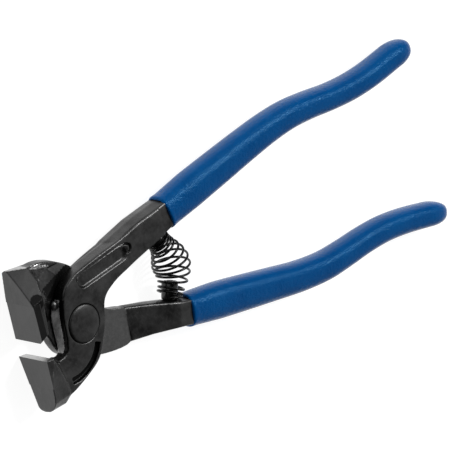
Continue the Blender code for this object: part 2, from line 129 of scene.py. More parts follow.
def outline(points, z_low, z_high, edge, rounds=2):
    """A flat outline extruded from z_low to z_high with rounded edges. True marks a sharp corner."""
    curve = bpy.data.curves.new("outline", "CURVE")
    curve.dimensions = "2D"
    curve.fill_mode = "BOTH"
    curve.extrude = (z_high - z_low) / 2 - edge
    curve.bevel_depth = edge
    curve.bevel_resolution = rounds
    curve.offset = -edge
    curve.resolution_u = 8
    spline = curve.splines.new("BEZIER")
    spline.bezier_points.add(len(points) - 1)
    spline.use_cyclic_u = True
    for knot, (x, y, sharp) in zip(spline.bezier_points, points):
        knot.co = (x, y, 0.0)
        knot.handle_left_type = "VECTOR" if sharp else "AUTO"
        knot.handle_right_type = "VECTOR" if sharp else "AUTO"
    source = new_object("outline", curve)
    depsgraph = bpy.context.evaluated_depsgraph_get()
    mesh = bpy.data.meshes.new_from_object(source.evaluated_get(depsgraph))
    bpy.data.objects.remove(source, do_unlink=True)
    mesh.transform(Matrix.Translation((0.0, 0.0, (z_low + z_high) / 2)))
    work = bmesh.new()
    work.from_mesh(mesh)
    bmesh.ops.remove_doubles(work, verts=work.verts, dist=0.01)
    return mesh_from(work, "outline")


def hull(corners):
    work = bmesh.new()
    for corner in corners:
        work.verts.new(corner)
    result = bmesh.ops.convex_hull(work, input=work.verts)
    left_over = result["geom_interior"] + result["geom_unused"]
    spare = {v for v in left_over if isinstance(v, bmesh.types.BMVert)}
    bmesh.ops.delete(work, geom=list(spare), context="VERTS")
    return mesh_from(work, "hull")


def box(low, high):
    work = bmesh.new()
    bmesh.ops.create_cube(work, size=1.0)
    bmesh.ops.scale(work, vec=[b - a for a, b in zip(low, high)], verts=work.verts)
    bmesh.ops.translate(work, vec=[(a + b) / 2 for a, b in zip(low, high)], verts=work.verts)
    return mesh_from(work, "box")


def cylinder(radius, z_low, z_high):
    work = bmesh.new()
    bmesh.ops.create_cone(
        work, cap_ends=True, segments=ROUND_SEGMENTS, radius1=radius, radius2=radius, depth=z_high - z_low)
    bmesh.ops.translate(work, vec=(0.0, 0.0, (z_low + z_high) / 2), verts=work.verts)
    return mesh_from(work, "cylinder")


def ball(place, radius, stretch=(1.0, 1.0, 1.0)):
    work = bmesh.new()
    bmesh.ops.create_uvsphere(work, u_segments=32, v_segments=20, radius=radius)
    bmesh.ops.scale(work, vec=stretch, verts=work.verts)
    bmesh.ops.translate(work, vec=place, verts=work.verts)
    return mesh_from(work, "ball")


def loft(rings):
    """A closed skin through rings of equal length, capped at both ends."""
    work = bmesh.new()
    rows = [[work.verts.new(point) for point in ring] for ring in rings]
    count = len(rows[0])
    for lower, upper in zip(rows, rows[1:]):
        for i in range(count):
            j = (i + 1) % count
            work.faces.new((lower[i], lower[j], upper[j], upper[i]))
    work.faces.new(list(reversed(rows[0])))
    work.faces.new(rows[-1])
    return mesh_from(work, "loft")


def joined(meshes):
    """One mesh that holds all the given ones, still as separate shells."""
    work = bmesh.new()
    for mesh in meshes:
        work.from_mesh(mesh)
    whole = bpy.data.meshes.new("joined")
    work.to_mesh(whole)
    work.free()
    return whole


def evaluated(obj):
    """The object's mesh with its modifiers applied. The object is removed."""
    depsgraph = bpy.context.evaluated_depsgraph_get()
    mesh = bpy.data.meshes.new_from_object(obj.evaluated_get(depsgraph))
    bpy.data.objects.remove(obj, do_unlink=True)
    return mesh


def remeshed(mesh, voxel, rounds):
    """Fuses the shells into one skin of even squares, then smooths it by some rounds."""
    obj = new_object("remeshed", mesh)
    fuse = obj.modifiers.new("fuse", "REMESH")
    fuse.mode = "VOXEL"
    fuse.voxel_size = voxel
    fuse.adaptivity = 0.0
    ease = obj.modifiers.new("ease", "SMOOTH")
    ease.iterations = rounds
    ease.factor = 0.5
    return evaluated(obj)


def cut(mesh, cutters, operation="DIFFERENCE"):
    obj = new_object("cut", mesh)
    tools = []
    for cutter in cutters:
        tool = new_object("cutter", cutter)
        tools.append(tool)
        step = obj.modifiers.new("cut", "BOOLEAN")
        step.operation = operation
        step.object = tool
        step.solver = "MANIFOLD"
    result = evaluated(obj)
    for tool in tools:
        bpy.data.objects.remove(tool, do_unlink=True)
    return result


def dressed(mesh, materials, choose):
    """Gives each face the material whose number choose() returns for the faces' centres and normals."""
    mesh.materials.clear()
    for material in materials:
        mesh.materials.append(material)
    count = len(mesh.polygons)
    centres = np.empty(count * 3, np.float32)
    normals = np.empty(count * 3, np.float32)
    mesh.polygons.foreach_get("center", centres)
    mesh.polygons.foreach_get("normal", normals)
    chosen = choose(centres.reshape(-1, 3), normals.reshape(-1, 3))
    mesh.polygons.foreach_set("material_index", chosen.astype(np.int32))


def piece(name, mesh, materials, body, replaced, choose=None, sharp=62.0):
    """Puts a finished mesh in place as a named piece that stands for a CAD node."""
    mesh.name = name
    if choose is None:
        mesh.materials.clear()
        mesh.materials.append(materials)
    else:
        dressed(mesh, materials, choose)
    mesh.transform(TO_WORLD)
    mesh.shade_smooth()
    mesh.set_sharp_from_angle(angle=radians(sharp))
    obj = new_object(name, mesh)
    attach(obj, body)
    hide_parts(replaced)
    return obj


# ---------------------------------------------------------------- outlines and sections

FRONT_PLATE = [
    (-16.6, -23.6, True), (-15.5, -8.6, True), (-10.6, -7.2, False), (-9.35, -3.6, False),
    (-8.8, 2.7, False), (-8.3, 7.0, False), (-7.0, 12.0, False), (-5.4, 15.2, False), (-2.2, 17.6, False),
    (1.4, 19.2, False), (6.1, 20.2, False), (13.0, 21.3, False), (24.0, 22.8, False), (38.5, 25.3, False),
    (46.0, 26.6, True), (46.0, 15.6, True), (35.2, 13.2, False), (26.9, 11.1, False),
    (16.7, 7.8, False), (12.7, 4.9, False), (11.1, 1.2, False), (10.2, -3.0, False),
    (8.2, -7.8, False), (4.7, -14.2, False), (2.2, -16.6, False), (-1.7, -18.8, False),
    (-6.6, -21.0, False), (-12.0, -22.9, False),
]
# Foot and top of the sloped flange at the left edge of the front plate
FLANGE_FOOT = [
    (-12.4, -9.0), (-11.3, -6.6), (-11.15, -4.2), (-11.35, -0.5), (-11.4, 3.1), (-10.9, 7.0), (-9.9, 9.9),
    (-8.0, 11.3), (-4.0, 11.3), (-4.0, -9.0),
]
FLANGE_TOP = [
    (-11.6, -9.0), (-9.9, -6.6), (-9.4, -4.4), (-9.0, -0.5), (-8.9, 2.8), (-8.5, 6.6), (-7.6, 9.6),
    (-6.2, 10.6), (-4.0, 10.6), (-4.0, -9.0),
]
FRONT_ROOT = [
    (6.0, 18.6, True), (10.4, 9.6, True), (12.4, 5.4, False), (16.7, 8.1, False),
    (26.9, 11.5, True), (27.4, 22.9, True), (13.0, 20.3, False),
]
REAR_PLATE = [
    (-16.6, 27.9, True), (-11.1, 28.2, False), (-5.0, 26.5, False), (-0.5, 24.0, False),
    (3.0, 21.5, False), (5.3, 19.2, True), (8.2, 13.6, False), (10.0, 9.0, False),
    (11.4, 4.6, False), (13.2, 0.6, False), (16.3, -1.9, False), (22.0, -3.9, False),
    (23.2, -4.3, True), (22.4, -18.2, True), (20.6, -18.5, False), (8.4, -16.9, False),
    (2.0, -14.6, False), (-4.4, -12.4, False), (-9.4, -9.2, False), (-12.0, -5.0, False),
    (-13.6, -0.6, False), (-15.6, 2.4, True),
]

LOWER_JAW = [
    (-24.5, -4.98, 7.94), (-24.5, -4.98, -7.94), (-19.6, -5.5, 7.94), (-19.6, -5.5, -7.94),
    (-24.5, -20.0, 7.94), (-24.5, -22.2, 7.4), (-24.5, -24.0, 6.1), (-24.5, -25.6, 4.0),
    (-24.5, -26.4, 2.2), (-24.5, -26.75, 0.0), (-24.5, -26.3, -2.2), (-24.5, -25.0, -3.6),
    (-15.6, -25.4, 3.9), (-15.6, -25.4, -3.9), (-15.8, -9.8, 5.6), (-14.0, -17.6, 5.5),
    (-13.75, -22.3, 5.3), (-12.9, -9.6, -5.0), (-12.1, -22.6, 4.4), (-12.1, -22.6, -4.4),
]
UPPER_JAW = [
    (-24.5, 2.01, 7.94), (-24.5, 2.01, -7.94), (-18.9, 4.6, 7.94), (-18.9, 4.6, -7.94),
    (-24.5, 10.0, 7.94), (-24.5, 14.2, 7.8), (-24.5, 16.6, 7.5), (-24.5, 19.0, 5.75),
    (-24.5, 21.5, 3.75), (-24.5, 24.1, 1.4), (-24.5, 26.57, -0.98), (-24.5, 28.9, -6.2),
    (-24.5, 29.9, -4.4), (-24.5, 17.0, -7.94), (-17.8, 16.0, 7.5), (-17.6, 17.9, 7.7), (-15.6, 23.3, 4.0),
    (-15.7, 28.4, -0.2), (-17.0, 17.0, -7.6), (-15.7, 27.0, -6.4), (-12.8, 28.0, -0.4),
    (-12.8, 28.0, -4.9), (-13.9, 1.6, -0.4), (-13.9, 1.6, -4.9),
]
# The flank that falls from the upper jaw's ridge to the lap, painted dark as shade beside the front lever
UPPER_SHOULDER = [
    (-17.8, 15.6, 7.2), (-15.7, 23.0, 3.9), (-15.8, 28.1, -0.4), (-12.1, 6.0, 0.3), (-11.4, 9.4, 0.3),
    (-8.2, 13.9, 0.3), (-4.4, 17.9, 0.3), (-1.5, 20.5, 0.0), (-11.1, 27.8, -0.4), (-5.0, 26.1, -0.4),
    (-17.8, 15.6, -4.0), (-11.4, 9.4, -4.0), (-4.4, 17.9, -4.0), (-11.1, 27.8, -4.0),
]

# Handle stations: (x, y, half width, middle z, half thickness)
UPPER_HANDLE = [
    (13.0, 13.3, 5.6, -0.1, 4.6), (24.0, 16.8, 6.3, 0.0, 4.9), (36.0, 19.7, 6.3, 0.0, 4.9),
    (47.0, 21.6, 5.9, 0.0, 4.75), (54.7, 23.1, 5.4, 0.0, 4.45), (67.4, 25.6, 5.3, 0.0, 4.25),
    (80.1, 27.9, 5.0, 0.0, 4.2), (92.8, 30.2, 4.6, 0.0, 4.15), (105.5, 32.2, 4.2, 0.0, 4.1),
    (116.5, 33.1, 3.9, 0.0, 4.0), (127.0, 32.6, 3.6, 0.0, 3.9), (138.0, 31.4, 3.4, 0.0, 3.8),
    (148.5, 31.0, 3.35, 0.0, 3.75), (159.0, 31.8, 3.3, 0.0, 3.75), (170.5, 33.8, 3.25, 0.0, 3.7),
]
LOWER_HANDLE = [
    (19.5, -10.8, 6.9, -2.65, 2.15), (23.0, -11.3, 7.2, -2.5, 2.35), (33.7, -13.3, 6.25, -1.28, 3.48),
    (44.5, -15.9, 5.35, 0.0, 4.6), (49.5, -17.1, 5.2, 0.0, 4.6), (56.0, -18.0, 5.3, 0.0, 4.4),
    (67.4, -20.1, 5.3, 0.0, 4.25), (80.1, -22.5, 5.0, 0.0, 4.2), (92.8, -24.9, 4.6, 0.0, 4.15),
    (105.5, -27.2, 4.2, 0.0, 4.1), (117.5, -28.3, 3.9, 0.0, 4.0), (128.0, -27.8, 3.6, 0.0, 3.9),
    (138.0, -26.9, 3.4, 0.0, 3.8), (148.5, -26.7, 3.3, 0.0, 3.75), (159.0, -27.9, 3.2, 0.0, 3.7),
    (170.0, -30.1, 3.05, 0.0, 3.6),
]


def directions_of(stations):
    found = []
    for i in range(len(stations)):
        before = stations[max(i - 1, 0)]
        after = stations[min(i + 1, len(stations) - 1)]
        found.append(Vector((after[0] - before[0], after[1] - before[1], 0.0)).normalized())
    return found


def forged_ring(station, direction, draft=0.5, corner=0.9, arc=4):
    """A forged bar's section: widest at the parting plane, drafted both ways, with rounded corners."""
    x, y, half_width, middle_z, half_thickness = station
    side = Vector((-direction.y, direction.x, 0.0))
    ring = []
    for turn in range(4):
        sign_across = 1 if turn in (0, 3) else -1
        sign_up = 1 if turn in (0, 1) else -1
        centre_across = half_width - draft - corner
        centre_up = half_thickness - corner
        steps = range(arc + 1) if turn in (0, 2) else range(arc, -1, -1)
        if turn == 0:
            ring.append((half_width, 0.0))
        if turn == 2:
            ring.append((-half_width, 0.0))
        for k in steps:
            angle = pi / 2 * k / arc
            ring.append((
                sign_across * (centre_across + corner * cos(angle)),
                sign_up * (centre_up + corner * sin(angle))))
    return [Vector((x, y, middle_z + up)) + side * across for across, up in ring]


def forged_bar(stations, **shape):
    kept = [s for s in stations if s[0] < LEVER_END_X]
    directions = directions_of(stations)
    return loft([forged_ring(s, d, **shape) for s, d in zip(kept, directions)])


def stadium(start, end, radius, steps=10):
    heading = atan2(end[1] - start[1], end[0] - start[0])
    points = []
    for centre, first in ((end, heading - pi / 2), (start, heading + pi / 2)):
        for i in range(steps + 1):
            angle = first + pi * i / steps
            points.append((centre[0] + radius * cos(angle), centre[1] + radius * sin(angle), 0.0))
    return points


def ramped(outline_low, outline_high, z_low, z_high):
    """A block whose wall slopes from one outline at z_low to another at z_high."""
    rings = [[Vector((x, y, z)) for x, y, _ in points]
             for points, z in ((outline_low, z_low), (outline_high, z_high))]
    return loft(rings)


def smooth_route(points, per_span=8):
    """Catmull-Rom through the points."""
    route = []
    ends = [points[0]] + list(points) + [points[-1]]
    for a, b, c, d in zip(ends, ends[1:], ends[2:], ends[3:]):
        a, b, c, d = Vector(a), Vector(b), Vector(c), Vector(d)
        for i in range(per_span):
            t = i / per_span
            route.append((b * 2 + (c - a) * t + (a * 2 - b * 5 + c * 4 - d) * t ** 2
                          + (b * 3 - a - c * 3 + d) * t ** 3) / 2)
    route.append(Vector(points[-1]))
    return route


# ---------------------------------------------------------------- grooves and turned shapes

def trench(route, half_width, depth, surface):
    """A cutter for a flat-bottomed groove along a route, sunk into a flat surface at the given height."""
    rings = []
    count = len(route)
    for i, place in enumerate(route):
        along = (route[min(i + 1, count - 1)] - route[max(i - 1, 0)]).normalized()
        side = Vector((-along.y, along.x, 0.0))
        rings.append([
            Vector((place.x, place.y, surface + up)) + side * across
            for across, up in (
                (half_width, 1.0), (-half_width, 1.0), (-half_width, 0.25 - depth),
                (0.3 - half_width, -depth), (half_width - 0.3, -depth), (half_width, 0.25 - depth))])
    return loft(rings)


def turned(profile, segments=ROUND_SEGMENTS):
    """A closed body of revolution about Z from (radius, z) pairs that run from the top to the bottom."""
    rings = []
    for radius, z in profile:
        rings.append([
            Vector((radius * cos(2 * pi * i / segments), radius * sin(2 * pi * i / segments), z))
            for i in range(segments)])
    return loft(rings)


# ---------------------------------------------------------------- levers

def finished_lever(soft_shells, crisp_shells, late_cuts, pocket, bar):
    """Fuses and eases a lever's forged shells, adds the crisp ones, machines it and adds the hidden bar."""
    body = remeshed(joined(soft_shells), FORGING_VOXEL, 3)
    body = remeshed(joined([body] + crisp_shells), FINISH_VOXEL, 1)
    body = cut(body, late_cuts)
    body = remeshed(body, FINISH_VOXEL, 1)
    body = cut(body, [pocket])
    return cut(body, [bar], "UNION")


def front_lever_mesh():
    flange = ramped(
        [(x, y, 0.0) for x, y in FLANGE_FOOT], [(x, y, 0.0) for x, y in FLANGE_TOP], LAP_GAP, 2.4)
    soft_shells = [
        outline(FRONT_PLATE, -1.6, FACE_Z, edge=0.6),
        outline(FRONT_ROOT, -4.8, 1.5, edge=0.9),
        forged_bar(UPPER_HANDLE),
        flange]
    knob = ball(KNOB, KNOB_RADIUS, (1.0, 1.0, 0.7))
    channel = ramped(
        stadium((4.6, 15.3), (23.0, 17.4), 2.2), stadium((4.2, 15.2), (25.6, 17.6), 3.2),
        FACE_Z - 0.9, FACE_Z + 0.35)
    channel_edge = trench(smooth_route(CHANNEL_EDGE_ROUTE), 0.42, 0.75, FACE_Z)
    groove = trench(smooth_route(GROOVE_ROUTE), 1.35, 1.7, FACE_Z)
    lap = box((-13.6, -30.0, -3.0), (12.2, 17.4, LAP_GAP))
    front = box((-30.0, -40.0, -12.0), (JAW_FACE_X, 10.0, 12.0))
    recess = cylinder(RECESS_RADIUS, FACE_Z - RECESS_DEPTH, BEYOND)
    pocket = box(
        (JAW_FACE_X - 1.0, LOWER_EDGE_Y - LOWER_TIP_LENGTH - TIP_GAP, -10.0),
        (JAW_FACE_X + TIP_THICKNESS + TIP_GAP, LOWER_EDGE_Y + 3.0, 10.0))
    return finished_lever(
        soft_shells, [knob, hull(LOWER_JAW)], [channel, channel_edge, groove, lap, front, recess], pocket,
        inner_bar(UPPER_HANDLE))


def rear_lever_mesh():
    soft_shells = [
        outline(REAR_PLATE, -FACE_Z, 0.4, edge=0.5),
        forged_bar(LOWER_HANDLE, draft=0.4, corner=0.8),
        hull(UPPER_SHOULDER)]
    plate_clearance = outline(
        [(x - 0.8, y, sharp) if x < -5.0 else (x, y, sharp) for x, y, sharp in FRONT_PLATE],
        -LAP_GAP, 9.0, edge=0.05, rounds=1)
    flange_clearance = ramped(
        [(x - 0.5, y + 0.3, 0.0) for x, y in FLANGE_FOOT], [(x - 0.7, y + 0.3, 0.0) for x, y in FLANGE_TOP],
        -LAP_GAP, 3.2)
    lap = box((-11.0, -25.0, -LAP_GAP), (23.4, 24.6, 0.8))
    front = box((-30.0, -10.0, -12.0), (JAW_FACE_X, 40.0, 12.0))
    recess = cylinder(REAR_RECESS_RADIUS, -BEYOND, -FACE_Z + 1.0)
    knob_clearance = ball(KNOB, KNOB_RADIUS + 0.5)
    pocket = box(
        (JAW_FACE_X - 1.0, UPPER_EDGE_Y - 3.0, -10.0),
        (JAW_FACE_X + TIP_THICKNESS + TIP_GAP, UPPER_EDGE_Y + UPPER_TIP_LENGTH + TIP_GAP, 10.0))
    return finished_lever(
        soft_shells, [hull(UPPER_JAW)],
        [plate_clearance, flange_clearance, knob_clearance, lap, front, recess], pocket,
        inner_bar(LOWER_HANDLE))


def inner_bar(stations):
    """The rest of a handle inside its grip, a little thinner than the finely meshed part that it meets."""
    kept = [(x, y, w - 0.12, z, t - 0.12) for x, y, w, z, t in stations if x > LEVER_END_X - 3.0]
    directions = directions_of(kept)
    return loft([forged_ring(s, d, arc=1) for s, d in zip(kept, directions)])


def tip_mesh(block, low_y, high_y, low_z):
    """The cut of a jaw's wedge that the carbide tip fills."""
    keep = box((JAW_FACE_X, low_y, low_z), (JAW_FACE_X + TIP_THICKNESS, high_y, 9.0))
    return cut(remeshed(hull(block), TIP_VOXEL, 2), [keep], "INTERSECT")


def near_sphere(centres, place, radius):
    return ((centres - np.array(place)) ** 2).sum(1) < radius ** 2


def front_faces(centres, normals):
    """The skin of each face of the front lever."""
    x, y, z = centres.T
    ground_front = (x < JAW_FACE_X + 0.06) & (normals[:, 0] < -0.9)
    lap = (abs(z - LAP_GAP) < 0.06) & (normals[:, 2] < -0.9) & (x < 24.0)
    knob = near_sphere(centres, KNOB, KNOB_RADIUS + 0.3)
    # The flange at the left edge is painted pale at its foot, a painted reflection of the bright
    # surroundings, and its wall above is painted black, a painted dark reflection
    left = (x > -13.0) & (x < -6.5) & (y > -7.5) & (y < 12.0) & (z > LAP_GAP + 0.05)
    flange = left & (z < 2.75) & (normals[:, 0] < -0.1)
    wall = left & (z >= 2.75) & (normals[:, 0] < -0.35)
    # The groove beside the jaw and the end of the channel are painted black inside as painted shade
    sunk = (z < FACE_Z - 0.3) & (z > FACE_Z - 2.2) & (normals[:, 2] > -0.3)
    reach = np.full(len(x), BEYOND)
    for spot in np.array([tuple(p) for p in smooth_route(GROOVE_ROUTE)]):
        reach = np.minimum(reach, np.hypot(x - spot[0], y - spot[1]))
    hollow = (reach < 1.75) | (np.hypot(x - CHANNEL_END[0], y - CHANNEL_END[1]) < 1.9)
    return np.select(
        [ground_front, lap | knob, flange, wall | sunk & hollow], [GROUND, MILLED, PALE_REFLECTION, PAINTED_SHADE], FORGED)


def rear_faces(centres, normals):
    """The skin of each face of the rear lever."""
    x, y, z = centres.T
    ragged = 0.35 * np.sin(4.1 * x + 1.7 * y) + 0.3 * np.sin(5.3 * y - 2.9 * x)
    ground_front = (x < JAW_FACE_X + 0.06) & (normals[:, 0] < -0.9)
    # A ragged spot at the nick, painted dark as shade
    nick_shade = near_sphere(centres, NICK_SHADE, 2.9 + 0.2 * ragged)
    nose = normals @ np.array(NOSE_NORMAL)
    # The slanted facet of the upper jaw gets a darker copy of the ground skin, painted shade against the
    # light that falls on it
    facet = ((nose > 0.975) | (normals[:, 0] < -0.35) & (nose > 0.3)) & (x < -15.2) & (y > 17.0) & ~nick_shade
    crown = (normals[:, 1] > 0.75) & (x < -15.5) & (y > 24.0)
    lap = (abs(z + LAP_GAP) < 0.06) & (normals[:, 2] > 0.9) & (x < 24.0)
    # The shoulder is painted black as shade on the side of the lap, up to a sloping line
    flank = (z > -0.5) & (x + 2.0 * ragged > -15.0) & (x < 4.0) & (normals[:, 2] > -0.2) & (y > 5.5)
    flank &= 0.27 * x - 0.78 * y + 0.57 * z + 0.3 * ragged > -16.9
    # A broken line along its top edge is painted bright as a painted highlight
    rim = (abs(0.39 * x + 0.91 * y - 0.13 * z - 20.6) < 0.34) & (x > -13.8) & (x < -3.4) & (z > -0.5)
    rim &= (normals[:, 1] > 0.1) & (np.sin(5.5 * x) > -0.6)
    return np.select(
        [ground_front, facet, crown | rim, lap & (x > 8.0), nick_shade | flank, lap],
        [GROUND, SHADED_GROUND, BRIGHT, MILLED, PAINTED_SHADE, MILLED], FORGED)


def tip_faces(side, seam_x):
    """Chooses a tip's skins. Its cutting edge faces along side * Y, and its sides are dark up to seam_x."""
    def choose(centres, normals):
        front = normals[:, 0] < -0.9
        land = normals[:, 1] * side > 0.85
        back = centres[:, 0] > seam_x
        return np.select([front, land, back], [TIP_FRONT, TIP_LAND, TIP_BACK], TIP_SIDE)
    return choose


# ---------------------------------------------------------------- grips

MOUTH_SPAN = 3.5             # length of the grip's rolled mouth
MOUTH_WALL = 1.2
# Distance from the mouth and wall there
MOUTH_PROFILE = ((0.0, 0.45), (0.05, 0.72), (0.2, 0.98), (0.5, 1.16), (0.95, 1.2), (1.6, 1.17))
SPAN_STEPS = 6               # rings from one handle station to the next
TIP_STEPS = 12
TIP_BLUNTNESS = 0.72
SKIN_SQUARENESS = 2.5        # a superellipse's exponent
BORE_SQUARENESS = 6.0


def between_stations(stations, x):
    for a, b in zip(stations, stations[1:]):
        if a[0] <= x <= b[0]:
            share = (x - a[0]) / (b[0] - a[0])
            return tuple(p + (q - p) * share for p, q in zip(a, b))
    return stations[-1]


def rounded_section(station, direction, wall, exponent, count=72):
    """A superellipse round a handle's section, grown by the wall, with its points at even angles."""
    x, y, half_width, middle_z, half_thickness = station
    a, b = half_width + wall, half_thickness + wall
    side = Vector((-direction.y, direction.x, 0.0))
    ring = []
    for i in range(count):
        angle = 2 * pi * i / count
        reach = (abs(cos(angle) / a) ** exponent + abs(sin(angle) / b) ** exponent) ** (-1 / exponent)
        ring.append(Vector((x, y, middle_z + reach * sin(angle))) + side * (reach * cos(angle)))
    return ring


def heading(i, points):
    return (points[min(i + 1, len(points) - 1)] - points[max(i - 1, 0)]).normalized()


def grip_mesh(handle, tip_point):
    """A dipped sleeve: a rolled mouth, a skin that follows the handle, a round tip and the bore."""
    beyond = [s for s in handle if s[0] > GRIP_MOUTH_X + MOUTH_SPAN + 3.0]
    stations = [between_stations(handle, x) for x in (GRIP_MOUTH_X, GRIP_MOUTH_X + MOUTH_SPAN)] + beyond
    route = smooth_route(stations, SPAN_STEPS)
    last = stations[-1]
    tip = Vector((*tip_point, last[2], last[3], last[4]))
    closing = []
    for i in range(1, TIP_STEPS):
        angle = pi / 2 * i / TIP_STEPS
        closing.append((Vector(last).lerp(tip, sin(angle)), cos(angle) ** TIP_BLUNTNESS))
    mouth = route[0]
    after = route[SPAN_STEPS]
    rolled = []
    for offset, wall in MOUTH_PROFILE:
        rolled.append((mouth.lerp(after, offset / MOUTH_SPAN), wall))
    outer = [(s, wall, 1.0) for s, wall in rolled]
    outer += [
        (s, MOUTH_WALL + (GRIP_WALL - MOUTH_WALL) * min(i / 5, 1.0), 1.0)
        for i, s in enumerate(route[SPAN_STEPS:])]
    outer += [(s, GRIP_WALL, size) for s, size in closing]
    bore = [route[0]] + route[SPAN_STEPS::SPAN_STEPS]
    places = [Vector((s[0], s[1], 0.0)) for s, _, _ in outer]
    skin = []
    for i, (s, wall, size) in enumerate(outer):
        grown = (s[0], s[1], (s[2] + wall) * size, s[3], (s[4] + wall) * size)
        skin.append(rounded_section(grown, heading(i, places), 0.0, SKIN_SQUARENESS))
    spots = [Vector((s[0], s[1], 0.0)) for s in bore]
    inner = []
    for i, s in enumerate(bore):
        inner.append(rounded_section(tuple(s), heading(i, spots), GRIP_GAP, BORE_SQUARENESS))
    inner.reverse()
    return loft(inner + skin)


# ---------------------------------------------------------------- spring and pegs

def seat_frame(seat):
    x, y, slope, facing = seat
    slope = radians(slope)
    return Vector((x, y, 0.0)), Vector((-sin(slope), cos(slope), 0.0)) * facing


# Close-wound turns at the lower seat, open turns, close-wound turns at the upper seat
LOW_TURNS, OPEN_TURNS, HIGH_TURNS = 2.16, 7.13, 3.5
LOW_PITCH, HIGH_PITCH = 1.47, 1.2
LOW_RADIUS, BELLY_RADIUS, HIGH_RADIUS = 4.58, 7.0, 4.2
FIRST_ANGLE = 4.09
WIRE_RADIUS = 0.45
TURN_STEPS = 40
LINE_SAMPLES = 400


def bezier(points, t):
    degree = len(points) - 1
    parts = [p * (comb(degree, i) * t ** i * (1.0 - t) ** (degree - i)) for i, p in enumerate(points)]
    return sum(parts, Vector((0.0, 0.0, 0.0)))


def spring_route():
    """A right-handed barrel coil on a bowed centre line, close-wound at both seats."""
    low, low_normal = seat_frame(LOWER_SEAT)
    high, high_normal = seat_frame(UPPER_SEAT)
    first = low + low_normal * 1.3
    last = high + high_normal * 1.12
    knots = (
        first, first + low_normal * 2.5, first + low_normal * 8.0 + Vector((4.85, 0.0, 0.0)),
        last + high_normal * 8.0 + Vector((3.26, 0.0, 0.0)), last + high_normal * 1.46, last)
    centres = [bezier(knots, i / LINE_SAMPLES) for i in range(LINE_SAMPLES + 1)]
    lengths = [0.0]
    for a, b in zip(centres, centres[1:]):
        lengths.append(lengths[-1] + (b - a).length)
    open_travel = lengths[-1] - LOW_TURNS * LOW_PITCH - HIGH_TURNS * HIGH_PITCH
    route = []
    for i in range(int((LOW_TURNS + OPEN_TURNS + HIGH_TURNS) * TURN_STEPS) + 1):
        turn = i / TURN_STEPS
        opened = min(max((turn - LOW_TURNS) / OPEN_TURNS, 0.0), 1.0)
        travel = LOW_PITCH * min(turn, LOW_TURNS) + open_travel * (opened + 0.17 * opened * (1.0 - opened))
        travel += HIGH_PITCH * max(turn - LOW_TURNS - OPEN_TURNS, 0.0)
        share = travel / lengths[-1]
        t = float(np.interp(travel, lengths, np.linspace(0.0, 1.0, LINE_SAMPLES + 1)))
        along = bezier([b - a for a, b in zip(knots, knots[1:])], t).normalized()
        bulge = sin(pi * min(max((share - 0.06) / 0.88, 0.0), 1.0)) ** 2
        seat_radius = LOW_RADIUS if share < 0.5 else HIGH_RADIUS
        radius = seat_radius + (BELLY_RADIUS - seat_radius) * bulge
        angle = FIRST_ANGLE + 2 * pi * turn
        side = Vector((along.y, -along.x, 0.0))
        depth = Vector((0.0, 0.0, radius * sin(angle)))
        route.append(bezier(knots, t) + side * (radius * cos(angle)) - depth)
    return route


def wire_piece(name, route, radius, material):
    """A centre line of vertices with a round wire swept along it, so that it stays round as it bends."""
    mesh = bpy.data.meshes.new(name)
    mesh.from_pydata([TO_WORLD @ p for p in route], [(i, i + 1) for i in range(len(route) - 1)], [])
    mesh.materials.append(material)
    obj = new_object(name, mesh)
    tree = bpy.data.node_groups.new("round_wire", "GeometryNodeTree")
    tree.interface.new_socket("Geometry", in_out="INPUT", socket_type="NodeSocketGeometry")
    tree.interface.new_socket("Geometry", in_out="OUTPUT", socket_type="NodeSocketGeometry")
    source = tree.nodes.new("NodeGroupInput")
    line = tree.nodes.new("GeometryNodeMeshToCurve")
    circle = tree.nodes.new("GeometryNodeCurvePrimitiveCircle")
    sweep = tree.nodes.new("GeometryNodeCurveToMesh")
    smooth = tree.nodes.new("GeometryNodeSetShadeSmooth")
    finish = tree.nodes.new("GeometryNodeSetMaterial")
    result = tree.nodes.new("NodeGroupOutput")
    circle.inputs["Resolution"].default_value = 14
    circle.inputs["Radius"].default_value = radius * MM
    sweep.inputs["Fill Caps"].default_value = True
    finish.inputs["Material"].default_value = material
    tree.links.new(source.outputs[0], line.inputs["Mesh"])
    tree.links.new(line.outputs["Curve"], sweep.inputs["Curve"])
    tree.links.new(circle.outputs["Curve"], sweep.inputs["Profile Curve"])
    tree.links.new(sweep.outputs["Mesh"], smooth.inputs["Geometry"])
    tree.links.new(smooth.outputs["Geometry"], finish.inputs["Geometry"])
    tree.links.new(finish.outputs["Geometry"], result.inputs[0])
    wire = obj.modifiers.new("wire", "NODES")
    wire.node_group = tree
    return obj


def peg_mesh(seat, height):
    """A turned peg of some height, with a chamfered, dimpled head and a stem in the handle."""
    mesh = turned([
        (0.3, height - 0.35), (1.1, height - 0.3), (1.5, height), (2.3, height), (2.75, height - 0.15),
        (3.1, height - 0.75), (3.1, 0.9), (3.0, 0.35), (2.7, 0.08), (1.5, 0.02), (1.5, -3.0), (0.3, -3.0)],
        segments=64)
    place, normal = seat_frame(seat)
    mesh.transform(Matrix.Translation(place) @ normal.to_track_quat("Z", "Y").to_matrix().to_4x4())
    return mesh


# ---------------------------------------------------------------- materials

def node(tree, kind, inputs, **settings):
    """Adds a node. An input is a number, a colour or another node's output."""
    made = tree.nodes.new(kind)
    for name, value in settings.items():
        setattr(made, name, value)
    for name, value in inputs.items():
        if isinstance(value, bpy.types.NodeSocket):
            tree.links.new(value, made.inputs[name])
        else:
            made.inputs[name].default_value = value
    return made


